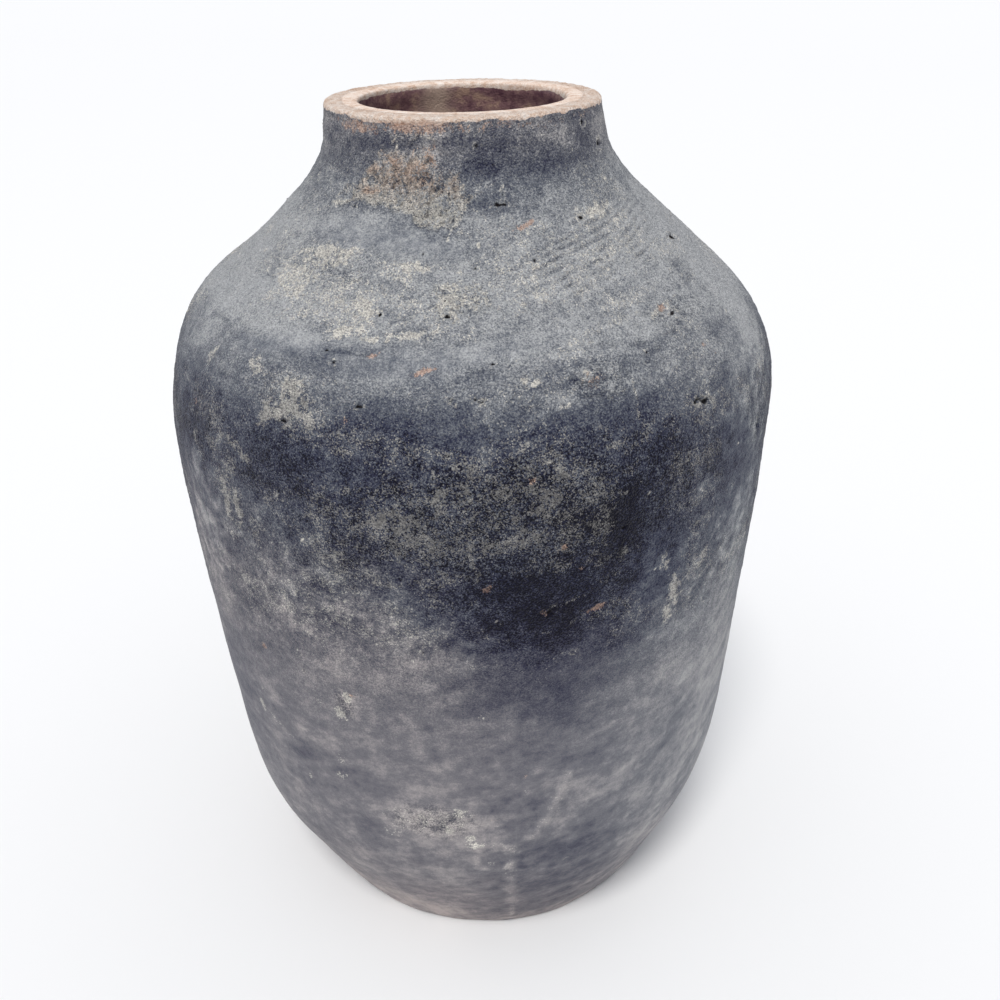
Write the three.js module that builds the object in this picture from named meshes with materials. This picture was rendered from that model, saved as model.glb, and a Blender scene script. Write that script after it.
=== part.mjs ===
// A hand-built black clay jar: a thick, wide-shouldered storage jar with a flat-cut lip and a broad flat foot.
// It is made as a potter makes it, from a floor slab and a stack of clay courses. Each course is bevelled and
// luted with slip to the one below, so every section here is its own solid and meets its neighbours in a
// slanting scarf joint. Millimetres, +Z up, with the origin at the centre of the foot.
import * as THREE from "three";

// Driving dimensions of the jar's outside, from the foot up.
const HEIGHT = 400;
const FOOT_RADIUS = 97;
const HEEL_RADIUS = 128;
const HEEL_HEIGHT = 76;
const BELLY_RADIUS = 140;
const BELLY_HEIGHT = 250;
const SHOULDER_RADIUS = 125;
const SHOULDER_HEIGHT = 320;
const NECK_ROOT_RADIUS = 69.5;
const NECK_ROOT_HEIGHT = 369;
const LIP_RADIUS = 58.7;
const MOUTH_RADIUS = 44;

// Clay thicknesses. The wall swells into the thicker lip from this height up.
const WALL = 10;
const LIP_WALL = LIP_RADIUS - MOUTH_RADIUS;
const FLOOR = 14;
const SWELL_HEIGHT = 330;

// The underside is pressed up a little, so that the jar stands on a flat ring round its foot.
const KICK = 2;
const STANDING_RING_INNER_RADIUS = 74;
const FOOT_EDGE_ROUNDING = 3;

// The slab's edge is turned up inside to meet the first course, over this width.
const TURNED_UP_WIDTH = 6;

// Scarf joints: how far a course laps the next one along the wall, and the thickness of the slip between them.
const LAP = 9;
const SLIP = 0.3;

// The lip is cut flat, with its two edges rubbed round.
const LIP_ROUNDING = 2.5;

// Faceting: sides round the jar, the longest step along its outline, and steps round a rubbed edge.
const SIDES = 48;
const STEP = 14;
const EDGE_STEPS = 3;

// The outside of the jar, from the edge of the foot to the top of the lip, as radius and height.
const OUTLINE = new THREE.SplineCurve([
  new THREE.Vector2(FOOT_RADIUS, 0),
  new THREE.Vector2(114, 36), // the foot's flare bows out a little
  new THREE.Vector2(HEEL_RADIUS, HEEL_HEIGHT),
  new THREE.Vector2(133.5, 128), // above the heel the wall is nearly upright
  new THREE.Vector2(137.3, 192),
  new THREE.Vector2(BELLY_RADIUS, BELLY_HEIGHT),
  new THREE.Vector2(138.5, 288),
  new THREE.Vector2(SHOULDER_RADIUS, SHOULDER_HEIGHT),
  new THREE.Vector2(95.5, 346), // the shoulder runs to the neck as a cone
  new THREE.Vector2(NECK_ROOT_RADIUS, NECK_ROOT_HEIGHT),
  new THREE.Vector2(60, 386),
  new THREE.Vector2(LIP_RADIUS, HEIGHT),
]);
OUTLINE.arcLengthDivisions = 2000;
const OUTLINE_LENGTH = OUTLINE.getLength();

// The joint on top of the floor slab, as a distance along the outline from the foot.
const FLOOR_JOINT = 18;

// The courses above the slab, from the bottom up, each with the joint on its top.
const COURSES = [
  { name: "foot_course", top: 82 },
  { name: "lower_wall_course", top: 140 },
  { name: "middle_wall_course", top: 198 },
  { name: "belly_course", top: 248 },
  { name: "shoulder_swell_course", top: 284 },
  { name: "shoulder_turn_course", top: 320 },
  { name: "shoulder_cone_course", top: 366 },
  { name: "neck_collar", top: 412 },
];

const smokedClay = () => new THREE.MeshStandardMaterial({ color: 0x55565c, roughness: 0.6, metalness: 0 });
const bareClay = () => new THREE.MeshStandardMaterial({ color: 0xc9a591, roughness: 0.9, metalness: 0 });

// The point on the outside of the wall at a distance along the outline.
function outside(distance) {
  return OUTLINE.getPointAt(distance / OUTLINE_LENGTH);
}

// The point straight through the wall from outside(distance).
function inside(distance) {
  const point = outside(distance);
  const along = OUTLINE.getTangentAt(distance / OUTLINE_LENGTH);
  const swell = THREE.MathUtils.smoothstep(point.y, SWELL_HEIGHT, HEIGHT);
  const thickness = THREE.MathUtils.lerp(WALL, LIP_WALL, swell);
  return new THREE.Vector2(point.x - along.y * thickness, point.y + along.x * thickness);
}

// Points along one face of the wall between two distances, going up or down.
function stretch(face, from, to) {
  const steps = Math.max(1, Math.round(Math.abs(to - from) / STEP));
  return Array.from({ length: steps + 1 }, (_, i) => face(THREE.MathUtils.lerp(from, to, i / steps)));
}

// A rounded edge: an arc about a centre, with both ends included.
function roundedEdge(centreRadius, centreHeight, radius, fromAngle, toAngle) {
  return Array.from({ length: EDGE_STEPS + 1 }, (_, i) => {
    const angle = THREE.MathUtils.lerp(fromAngle, toAngle, i / EDGE_STEPS);
    return new THREE.Vector2(centreRadius + radius * Math.cos(angle), centreHeight + radius * Math.sin(angle));
  });
}

// One section of the jar: a profile in the half-plane, turned about the jar's axis.
function section(name, profile, material) {
  const geometry = new THREE.LatheGeometry(profile, SIDES);
  geometry.rotateX(Math.PI / 2);
  const mesh = new THREE.Mesh(geometry, material);
  mesh.name = name;
  return mesh;
}

// A course of clay: bevelled at both ends, higher outside than inside, so that it laps its neighbours.
function course(name, bottom, top) {
  const outer = stretch(outside, bottom + LAP / 2 + SLIP, top + LAP / 2);
  const inner = stretch(inside, top - LAP / 2, bottom - LAP / 2 + SLIP);
  return section(name, [...outer, ...inner, outer[0]], smokedClay());
}

// The floor: a slab whose edge is the foot, pressed up underneath and bevelled to take the first course.
function floorSlab() {
  const seat = inside(FLOOR_JOINT - LAP / 2);
  const profile = [
    new THREE.Vector2(0, KICK),
    new THREE.Vector2(STANDING_RING_INNER_RADIUS - KICK, KICK),
    new THREE.Vector2(STANDING_RING_INNER_RADIUS, 0),
    ...roundedEdge(FOOT_RADIUS - FOOT_EDGE_ROUNDING, FOOT_EDGE_ROUNDING, FOOT_EDGE_ROUNDING, -Math.PI / 2, -Math.PI / 6),
    ...stretch(outside, FOOT_EDGE_ROUNDING + 1, FLOOR_JOINT + LAP / 2),
    seat,
    new THREE.Vector2(seat.x - TURNED_UP_WIDTH, FLOOR),
    new THREE.Vector2(0, FLOOR),
  ];
  return section("floor_slab", profile, smokedClay());
}

// The lip: a thick ring whose foot laps the neck collar.
function lipRing() {
  const joint = COURSES.at(-1).top;
  const edge = OUTLINE_LENGTH - LIP_ROUNDING - 1;
  const roundHeight = HEIGHT - LIP_ROUNDING;
  const outer = stretch(outside, joint + LAP / 2 + SLIP, edge);
  const profile = [
    ...outer,
    ...roundedEdge(LIP_RADIUS - LIP_ROUNDING, roundHeight, LIP_ROUNDING, 0, Math.PI / 2),
    ...roundedEdge(MOUTH_RADIUS + LIP_ROUNDING, roundHeight, LIP_ROUNDING, Math.PI / 2, Math.PI),
    ...stretch(inside, edge, joint - LAP / 2 + SLIP),
    outer[0],
  ];
  return section("lip_ring", profile, bareClay());
}

const jar = new THREE.Group();
jar.add(floorSlab());
COURSES.forEach(({ name, top }, i) => {
  const bottom = i === 0 ? FLOOR_JOINT : COURSES[i - 1].top;
  jar.add(course(name, bottom, top));
});
jar.add(lipRing());

export default jar;
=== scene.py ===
"""A hand-built black clay jar, smoke-fired, with a thick bare-clay lip.

The CAD model gives the jar's outline and the joints between its clay courses. This script turns that outline
into the real surface: one continuous skin of clay with its unevenness, scrape marks, pits and scars. The skin
is cut along slightly wandering joint lines into one closed piece for each course. Lengths are in millimetres
until a mesh is made. Places on the jar are given by azimuth, in degrees round from the front (-Y) towards +X,
and by height.
"""
import math

import bpy
import numpy as np
from mathutils import Matrix, Vector
from mathutils.bvhtree import BVHTree


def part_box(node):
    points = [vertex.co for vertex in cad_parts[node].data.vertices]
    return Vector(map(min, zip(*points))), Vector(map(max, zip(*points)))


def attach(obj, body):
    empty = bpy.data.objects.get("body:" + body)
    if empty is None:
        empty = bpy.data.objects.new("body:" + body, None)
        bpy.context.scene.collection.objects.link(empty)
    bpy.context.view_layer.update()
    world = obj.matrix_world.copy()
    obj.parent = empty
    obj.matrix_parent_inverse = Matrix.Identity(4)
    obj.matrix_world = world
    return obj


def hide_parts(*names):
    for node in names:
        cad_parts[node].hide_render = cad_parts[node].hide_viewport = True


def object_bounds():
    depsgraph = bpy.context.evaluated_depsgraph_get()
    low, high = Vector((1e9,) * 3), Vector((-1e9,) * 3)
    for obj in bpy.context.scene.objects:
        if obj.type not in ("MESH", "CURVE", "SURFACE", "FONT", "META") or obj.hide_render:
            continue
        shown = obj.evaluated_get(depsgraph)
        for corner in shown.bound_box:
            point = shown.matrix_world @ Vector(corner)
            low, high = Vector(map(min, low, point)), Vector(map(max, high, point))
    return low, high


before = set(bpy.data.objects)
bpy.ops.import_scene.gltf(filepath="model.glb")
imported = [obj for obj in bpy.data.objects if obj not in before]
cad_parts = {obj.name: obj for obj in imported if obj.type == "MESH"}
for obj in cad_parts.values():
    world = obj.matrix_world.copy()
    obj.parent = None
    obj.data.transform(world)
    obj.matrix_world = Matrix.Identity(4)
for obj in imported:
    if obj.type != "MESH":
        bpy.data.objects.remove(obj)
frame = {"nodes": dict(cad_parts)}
cad_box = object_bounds()

MM = 0.001
JAR_HEIGHT = cad_box[1][2] / MM

COURSES = [
    "floor_slab",
    "foot_course",
    "lower_wall_course",
    "middle_wall_course",
    "belly_course",
    "shoulder_swell_course",
    "shoulder_turn_course",
    "shoulder_cone_course",
    "neck_collar",
    "lip_ring",
]
BARE_LIP = "lip_ring"

# How fine the skin's mesh is: its columns round the jar, a multiple of UV_ARCS, and the spacing of its rows
# where it is seen well, seen a little and hidden.
UV_ARCS = 3
COLUMNS = 945
ROW = 0.94
COARSE_ROW = 1.8 * ROW
HIDDEN_ROW = 4.0
LAP_ROWS = 3
PATH_STEP = 0.25


# --- The outline, read off the CAD model -------------------------------------------------------------------

class CadJar:
    """The outline of the CAD jar, found by casting rays at it."""

    def __init__(self, nodes):
        self.trees = []
        rings = set()
        for node in nodes.values():
            corners = [v.co.copy() for v in node.data.vertices]
            faces = [tuple(p.vertices) for p in node.data.polygons]
            self.trees.append(BVHTree.FromPolygons(corners, faces))
            for co in corners:
                rings.add((round(math.hypot(co.x, co.y) / MM, 1), round(co.z / MM, 1)))
        self.rings = sorted(rings, key=lambda ring: ring[1])

    def first_hit(self, start, direction):
        """How far a ray goes before it meets the jar, in mm."""
        hits = [tree.ray_cast(Vector(start) * MM, Vector(direction)) for tree in self.trees]
        distances = [hit[3] for hit in hits if hit[0] is not None]
        return min(distances) / MM if distances else math.inf

    def side(self, from_axis, lowest, highest):
        """The outline's points on the outside, or on the inside, between two heights: radius and height."""
        far = 500.0
        # Rays pass just beside the corners and just above them, and may miss them by a facet's depth.
        just_beside, just_above, facet_depth = math.radians(0.5), 0.1, 0.6
        shortest_step = 1.0
        towards = (math.cos(just_beside), math.sin(just_beside), 0)
        away = tuple(-c for c in towards)
        points = []
        for radius, height in self.rings:
            if not lowest <= height <= highest:
                continue
            probe = height + just_above
            if from_axis:
                met = self.first_hit((0, 0, probe), towards)
            else:
                met = far - self.first_hit((towards[0] * far, towards[1] * far, probe), away)
            too_near = points and math.dist(points[-1], (radius, height)) < shortest_step
            if abs(met - radius) <= facet_depth and not too_near:
                points.append((radius, height))
        return np.array(points)


def smooth_through(points, step):
    """A smooth line through points, sampled at an even step."""
    chord = np.r_[0, np.cumsum(np.hypot(*np.diff(points, axis=0).T))]
    slope = np.gradient(points, chord, axis=0)
    at = np.arange(0, chord[-1], step)
    i = np.clip(np.searchsorted(chord, at, side="right") - 1, 0, len(chord) - 2)
    width = (chord[i + 1] - chord[i])[:, None]
    t = (at - chord[i])[:, None] / width
    rise = t * t * (3 - 2 * t)
    return (
        points[i] * (1 - rise)
        + points[i + 1] * rise
        + slope[i] * width * (t - 2 * t**2 + t**3)
        + slope[i + 1] * width * (t**3 - t**2)
    )


def blurred(values, sigma, step):
    """Values along a line, smoothed by a bell of width sigma. The ends keep their slope."""
    reach = int(4 * sigma / step)
    bell = np.exp(-0.5 * (np.arange(-reach, reach + 1) * step / sigma) ** 2)
    padded = np.pad(values, reach, mode="reflect", reflect_type="odd")
    return np.convolve(padded, bell / bell.sum(), mode="valid")


class Path:
    """The jar's cross-section as one line: from the middle of the underside, out and up the outside, over the
    lip, down the inside and in along the floor to the axis. A place on it is a distance from its start."""

    EDGE_SOFTNESS = 1.2
    FLOOR_CORNER = 5

    def __init__(self, jar):
        low, high = (corner.z / MM for corner in (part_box(COURSES[0])[0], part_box(BARE_LIP)[1]))
        edge, level, below = 3.0, 0.05, 10.0
        standing = [r for r, z in jar.rings if abs(z - low) < level]
        cut = [r for r, z in jar.rings if abs(z - high) < level]
        ring_inner, ring_outer = min(standing), max(standing)
        kick = jar.first_hit((0, 0, -below), (0, 0, 1)) - below
        floor = high - jar.first_hit((1, 1, high), (0, 0, -1))
        outside = jar.side(False, low + edge, high - edge)
        inside = jar.side(True, floor + 1, high - edge)
        outer = smooth_through(outside, PATH_STEP)
        inner = smooth_through(inside, PATH_STEP)[::-1]
        foot_slope = (outer[4] - outer[0]) / 4
        foot_start = outer[0] - foot_slope * (outer[0][1] - low) / foot_slope[1]
        corners = [
            [(0, low + kick), (ring_inner - kick, low + kick), (ring_inner, low), foot_start],
            [(outer[-1][0], high), (inner[0][0], high)],
            [(inner[-1][0] - self.FLOOR_CORNER, floor), (0, floor)],
        ]
        knots = np.vstack([corners[0], outer, corners[1], inner, corners[2]])
        length = np.r_[0, np.cumsum(np.hypot(*np.diff(knots, axis=0).T))]
        self.u = np.arange(0, length[-1], PATH_STEP)
        raw = [np.interp(self.u, length, knots[:, i]) for i in (0, 1)]
        self.r, self.z = (blurred(line, self.EDGE_SOFTNESS, PATH_STEP) for line in raw)
        self.r = np.maximum(self.r, 0)
        self.r[0] = self.r[-1] = 0
        along = np.gradient(np.stack([self.r, self.z], 1), axis=0)
        along /= np.hypot(*along.T)[:, None]
        self.nr, self.nz = along[:, 1], -along[:, 0]
        self.end = self.u[-1]
        self.foot = self.u[np.argmax(self.r > ring_outer)]
        # The middle of the cut lip, and the place inside where the wall has become the floor.
        on_lip = (self.z > high - 2) & (np.abs(self.r - (min(cut) + max(cut)) / 2) < 2)
        self.lip = float(self.u[on_lip].mean())
        self.floor = self.u[np.nonzero((self.u > self.lip) & (self.z < floor + 1))[0][0]]

    def outside_at(self, height):
        """The distance along the path at a height on the outside."""
        rows = (self.u >= self.foot) & (self.u <= self.lip)
        return np.interp(height, self.z[rows], self.u[rows])

    def inside_at(self, height):
        """The distance along the path at a height on the inside."""
        rows = (self.u >= self.lip) & (self.u <= self.floor)
        return np.interp(height, self.z[rows][::-1], self.u[rows][::-1])

    def at(self, u):
        """Radius, height and the outward normal's two parts at distances along the path."""
        return tuple(np.interp(u, self.u, line) for line in (self.r, self.z, self.nr, self.nz))


# --- Smooth random fields ----------------------------------------------------------------------------------

class Field:
    """A smooth random field over space, between about -1 and 1, the same on every run."""

    STRETCH = 1.7

    def __init__(self, seed):
        random = np.random.default_rng(seed)
        self.order = random.permutation(256).astype(np.int32)
        gradients = random.normal(size=(256, 3))
        self.gradients = (gradients / np.linalg.norm(gradients, axis=1)[:, None]).astype(np.float32)

    def __call__(self, points, size, octaves=1, gain=0.5, flat=1):
        """Lumps of a size in mm, with finer and finer ones on them. They are flat times as long as tall."""
        points = points * np.array([1, 1, flat])
        total = 0
        weight = 1.0
        for octave in range(octaves):
            total = total + weight * self.layer(points / size + 17.3 * octave)
            weight *= gain
            size /= 2
        return total

    def layer(self, q):
        """One size of lumps: gradient noise, on a lattice of unit cells."""
        q = q.astype(np.float32)
        corner = np.floor(q)
        inside = q - corner
        corner = corner.astype(np.int32)
        ease = inside**3 * (inside * (inside * 6 - 15) + 10)
        total = np.zeros(q.shape[:-1], np.float32)
        for dx in (0, 1):
            first = self.order[(corner[..., 0] + dx) & 255]
            wx = ease[..., 0] if dx else 1 - ease[..., 0]
            for dy in (0, 1):
                second = self.order[(first + corner[..., 1] + dy) & 255]
                wy = ease[..., 1] if dy else 1 - ease[..., 1]
                for dz in (0, 1):
                    hashed = self.order[(second + corner[..., 2] + dz) & 255]
                    wz = ease[..., 2] if dz else 1 - ease[..., 2]
                    pull = self.gradients[hashed]
                    dot = (
                        pull[..., 0] * (inside[..., 0] - dx)
                        + pull[..., 1] * (inside[..., 1] - dy)
                        + pull[..., 2] * (inside[..., 2] - dz)
                    )
                    total += wx * wy * wz * dot
        return total * self.STRETCH


EDGE_NOISE = Field(31)


def step_between(low, high, values):
    """0 below low, 1 above high, and smooth between. low may be the larger."""
    t = np.clip((values - low) / (high - low), 0, 1)
    return t * t * (3 - 2 * t)


def hump(values, middle, width):
    """1 at the middle, falling away to 0 on both sides."""
    return np.exp(-(((values - middle) / width) ** 2))


def oval(dx, dy, wide, tall, turn):
    """How far out a place is in an oval that is turned anticlockwise by some degrees: 1 on its edge."""
    cosine, sine = math.cos(math.radians(turn)), math.sin(math.radians(turn))
    return np.hypot((cosine * dx + sine * dy) / wide, (cosine * dy - sine * dx) / tall)


# --- The skin: one grid of points over the whole jar -------------------------------------------------------

class Skin:
    """The jar's surface as a grid: rows follow the path, columns go round. Relief and marks add to lift, in
    mm along the normal, and to the masks that the material reads."""

    # How light it is, from the smoke, with painted light and shade on the relief and painted rim light at the
    # sides;
    # how dusty it is, with painted highlights on the neck's crumbs; where bare clay and red clay show; how
    # grainy it is; where its holes get painted shade; and where it is the stained inside.
    MASKS = ("tone", "dust", "bare", "red", "rough", "hole_shade", "warm")

    def __init__(self, path):
        self.path = path
        self.azimuth = np.arange(COLUMNS) * (2 * math.pi / COLUMNS) - math.pi
        self.spans = []
        self.u = self.lay_rows()
        self.r, self.z, nr, nz = path.at(self.u)
        sine, cosine = np.sin(self.azimuth), np.cos(self.azimuth)
        self.base = np.stack([self.r * sine, -self.r * cosine, self.z], -1)
        self.normal = np.stack([nr * sine, -nr * cosine, nz], -1)
        self.lift = np.zeros(self.u.shape, np.float32)
        self.masks = {name: np.zeros(self.u.shape, np.float32) for name in self.MASKS}
        self.outside = self.u < path.lip

    def joint_line(self, u, seed):
        """A joint's place along the path, wandering a little as it goes round."""
        ring = np.stack([np.sin(self.azimuth), np.cos(self.azimuth), 0 * self.azimuth + seed * 3.7], -1)
        return u + 1.6 * Field(900 + seed)(ring, 0.6, 2)

    def lay_rows(self):
        """The distance along the path of every grid point. spans keeps each stretch's first and last row."""
        boxes = [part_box(name) for name in COURSES]
        outer = [self.path.outside_at(high.z / MM) for low, high in boxes[:-1]]
        inner = [self.path.inside_at(low.z / MM) for low, high in boxes[1:]]
        outer = [self.joint_line(u, i) for i, u in enumerate(outer)]
        inner = [self.joint_line(u, 20 + i) for i, u in enumerate(inner)]
        start, end = np.zeros(COLUMNS), np.full(COLUMNS, self.path.end)
        lines = [start, *outer, *inner[::-1], end]
        # From above, the inside is seen down to a little below the neck. The underside hardly shows.
        seen_inside = self.path.inside_at(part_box("neck_collar")[0].z / MM) + 10
        rows = [start[None, :]]
        row = 0
        for low, high in zip(lines, lines[1:]):
            deep = low.mean() > seen_inside
            little_seen = high.mean() < self.path.foot + 40 or low.mean() > self.path.lip
            spacing = HIDDEN_ROW if deep else COARSE_ROW if little_seen else ROW
            count = max(2, round((high - low).mean() / spacing))
            share = (np.arange(count) + 1)[:, None] / count
            rows.append(low + (high - low) * share)
            self.spans.append((row, row + count))
            row += count
        return np.vstack(rows)

    def span_of(self, index):
        """The first and last row of a course's outside and, unless it is the lip, of its inside."""
        last = len(COURSES) - 1
        return [self.spans[index]] if index == last else [self.spans[index], self.spans[2 * last - index]]

    def near(self, azimuth, height, reach):
        """The part of the grid within reach, in mm, of a place on the outside: its indices, and each point's
        offsets from the place, round the jar and up the wall."""
        u = float(self.path.outside_at(height))
        column = round((math.radians(azimuth) + math.pi) / (2 * math.pi) * COLUMNS) % COLUMNS
        radius = float(np.interp(u, self.path.u, self.path.r))
        wide = min(int(reach / (2 * math.pi * radius / COLUMNS)) + 2, COLUMNS // 2 - 1)
        columns = np.arange(column - wide, column + wide + 1) % COLUMNS
        rows = np.nonzero(np.abs(self.u[:, column] - u) < reach + 3)[0]
        where = np.ix_(rows, columns)
        turn = self.azimuth[columns] - math.radians(azimuth)
        turn = (turn + math.pi) % (2 * math.pi) - math.pi
        return where, turn[None, :] * self.r[where], self.u[where] - u

    def patch(self, azimuth, height, wide, tall, turn=0, ragged=0.35, soft=0.5):
        """An oval patch with a ragged edge, turned anticlockwise by some degrees: where it is, and its weight
        there. wide and tall are half its size, and a soft patch fades over more of it."""
        where, dx, dy = self.near(azimuth, height, (1 + soft + ragged) * max(wide, tall))
        grain = max(2.5, 0.6 * min(wide, tall))
        torn = ragged * EDGE_NOISE(self.base[where], grain, 4, 0.65)
        return where, step_between(1 + soft, 1 - soft, oval(dx, dy, wide, tall, turn) + torn)

    def stroke(self, places, width):
        """A line through places, each an azimuth and a height: where it is, and the distance from it as a
        share of its width, for points near enough."""
        middle = np.mean(places, axis=0)
        radius = float(np.interp(self.path.outside_at(middle[1]), self.path.u, self.path.r))
        ends = np.array([
            (math.radians(azimuth - middle[0]) * radius, self.path.outside_at(height))
            for azimuth, height in places
        ])
        ends[:, 1] -= self.path.outside_at(middle[1])
        reach = np.abs(ends).max() + 3 * width
        where, dx, dy = self.near(*middle, reach)
        nearest = np.full(dx.shape, np.inf)
        for start, end in zip(ends, ends[1:]):
            leg = end - start
            share = np.clip(((dx - start[0]) * leg[0] + (dy - start[1]) * leg[1]) / (leg @ leg), 0, 1)
            away = np.hypot(dx - start[0] - share * leg[0], dy - start[1] - share * leg[1])
            nearest = np.minimum(nearest, away)
        return where, nearest / width

    def mark(self, where=..., lift=0, **masks):
        """Adds to the lift and to masks, at some points or at all of them."""
        self.lift[where] += lift
        for name, amount in masks.items():
            self.masks[name][where] += amount

    def finish(self):
        """The final points and normals, after the lift and the jar's overall lean and unevenness."""
        self.points = jar_unevenness(self.base + self.normal * self.lift[..., None])
        round_ = np.roll(self.points, -1, 1) - np.roll(self.points, 1, 1)
        up = np.gradient(self.points, axis=0)
        normals = np.cross(round_, up)
        size = np.linalg.norm(normals, axis=-1, keepdims=True)
        self.normals = np.where(size > 1e-9, normals / np.maximum(size, 1e-9), self.normal)


# How the jar's axis wanders from side to side: heights, and the shift at each.
AXIS_HEIGHTS = (0, 80, 160, 240, 340, 375, 400)
AXIS_SHIFTS = (1.0, 0.3, -0.6, -0.9, -0.4, 0.1, -0.7)


def jar_unevenness(points):
    """The jar as hands left it: not quite round, and its axis not quite straight."""
    x, y, z = (points[..., i] for i in range(3))
    height = z / JAR_HEIGHT
    azimuth = np.arctan2(x, -y)
    swell = 1 + 0.004 * np.sin(2 * azimuth + 0.7) * height + 0.003 * np.sin(3 * azimuth - 4 * height)
    return np.stack([x * swell + np.interp(z, AXIS_HEIGHTS, AXIS_SHIFTS), y * swell, z], -1)


# --- Relief and tone of the whole surface ------------------------------------------------------------------

# How light the smoked surface is: heights, and the level at each.
TONE_HEIGHTS = (0, 25, 60, 100, 150, 200, 240, 262, 285, 302, 320, 345, 362, 380, 400)
TONE_LEVELS = (0.86, 0.83, 0.75, 0.75, 0.74, 0.73, 0.68, 0.60, 0.54, 0.65, 0.89, 1.03, 0.92, 0.79, 0.78)


def broad_relief(skin):
    """The unevenness of hand-built clay: broad swells, wiping bands that run round the jar, and grit."""
    swells = 0.45 * Field(1)(skin.base, 75, 2)
    dents = 0.20 * Field(2)(skin.base, 24, 2)
    bands = 0.12 * Field(3)(skin.base, 84, 3, flat=12)
    grit = Field(4)(skin.base, 3.0, 3, 0.6)
    blotches = Field(5)(skin.base, 12, 3, 0.7, flat=1.5)
    rough = 0.20 + 0.80 * step_between(130, 255, skin.z) * skin.outside
    calm = 1 - 0.7 * step_between(388, 396, skin.z)
    # The tone follows the grit that lifts the surface: painted light on the grit's tops and painted shade in
    # the hollows between.
    skin.mark(
        lift=(swells + dents + bands) * calm + 0.20 * grit * rough,
        tone=(0.08 * grit + 0.07 * blotches) * rough,
        rough=rough,
    )


def surface_tone(skin):
    """How light the smoked surface is: pale on the shoulder, sooty round the belly, washed out below."""
    p, z = skin.base, skin.z
    waver = 9 * Field(10)(p, 90, 2, flat=0.4)
    by_height = np.interp(z + waver, TONE_HEIGHTS, TONE_LEVELS)
    clouds = 0.07 * Field(11)(p, 48, 4, 0.65, flat=1.6)
    # Away from the front, soot lies round the belly in broad drifts of its own.
    away = step_between(60, 95, np.abs(np.degrees(skin.azimuth)))[None, :]
    belly = step_between(165, 215, z) * step_between(325, 290, z)
    drifts = step_between(-0.25, 0.55, Field(12)(p, 120, 3, flat=1.8))
    skin.mark(tone=by_height + clouds - 0.30 * away * belly * drifts)
    # The shoulder is powdery, and dust specks the sooty belly.
    powdery = step_between(-0.5, 0.9, Field(13)(p, 34, 4, 0.65, flat=1.7))
    shoulder = step_between(285, 325, z) * step_between(396, 376, z)
    specked = 0.25 + 0.75 * step_between(-0.3, 0.6, Field(14)(p, 26, 4, 0.7, flat=1.5))
    sooty = step_between(190, 225, z) * step_between(315, 295, z)
    skin.mark(
        tone=sooty * (0.22 * Field(15)(p, 8, 4, 0.75) - 0.19),
        dust=0.13 * powdery * shoulder + 0.32 * specked * sooty,
    )
    mottled = 0.07 * step_between(200, 150, z) * Field(16)(p, 11, 3, 0.65)
    below = 0.065 * step_between(260, 210, z) * wiped(skin, 25, 17)
    above = 0.06 * step_between(210, 260, z) * wiped(skin, 8, 18)
    skin.mark(tone=(mottled + below + above) * skin.outside)


def wiped(skin, slope, seed):
    """Long smears where a wet hand or a rag wiped the jar. They rise to the right by slope degrees, and fade
    out at the back, where the pattern would not meet itself."""
    around = skin.azimuth[None, :] * 130
    cosine, sine = math.cos(math.radians(slope)), math.sin(math.radians(slope))
    along = around * cosine + skin.z * sine
    across = skin.z * cosine - around * sine
    smears = Field(seed)(np.stack([along / 3, across, 0.02 * along], -1), 8, 4, 0.7)
    return smears * step_between(math.radians(170), math.radians(140), np.abs(skin.azimuth))[None, :]


def chatter(skin):
    """Ridges left by a tool that juddered as it scraped the shoulder. They rise to the right."""
    where, dx, dy = skin.near(40, 354, 62)
    p = skin.base[where]
    warp = EDGE_NOISE(p, 18, 3)
    weight = step_between(1.15, 0.5, np.hypot(dx / 46, (dy - 0.2 * dx) / 16) + 0.3 * warp)
    ridges = np.sin(2 * np.pi * (dy - 0.24 * dx + 1.6 * warp) / 3.7)
    ridges = weight * ridges * step_between(-0.9, 0.5, EDGE_NOISE(p * np.array([0.35, 0.35, 1]), 6, 2))
    # The tone follows the ridges: painted light on their crests and painted shade in their troughs.
    skin.mark(where, lift=0.50 * ridges, tone=0.19 * ridges)


def scored_lines(skin):
    """Fine lines that run round the jar, where it was wiped and scraped, strongest on the shoulder."""
    lines = Field(41)(skin.base, 19, 2, 0.7, flat=10)
    patches = step_between(-0.3, 0.4, Field(42)(skin.base, 26, 2))
    scraped = step_between(270, 300, skin.z) * step_between(372, 340, skin.z) + 0.25
    cut = np.minimum(lines + 0.15, 0) * patches * scraped * skin.outside
    # The tone follows the cut: painted shade in the grooves.
    skin.mark(lift=0.60 * cut, tone=0.12 * cut)


# The clay smeared on the neck, by azimuth: the height of its lower edge, and how far up it reaches.
CRUMB_EDGE = ((-46, 367.5), (-32, 370), (-24, 368.5), (-18, 367.5), (-10, 363), (-4, 362), (2, 370))
CRUMB_REACH = ((-54, 0), (-44, 7), (-34, 14), (-24, 28), (-14, 33), (-4, 24), (2, 0))


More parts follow.
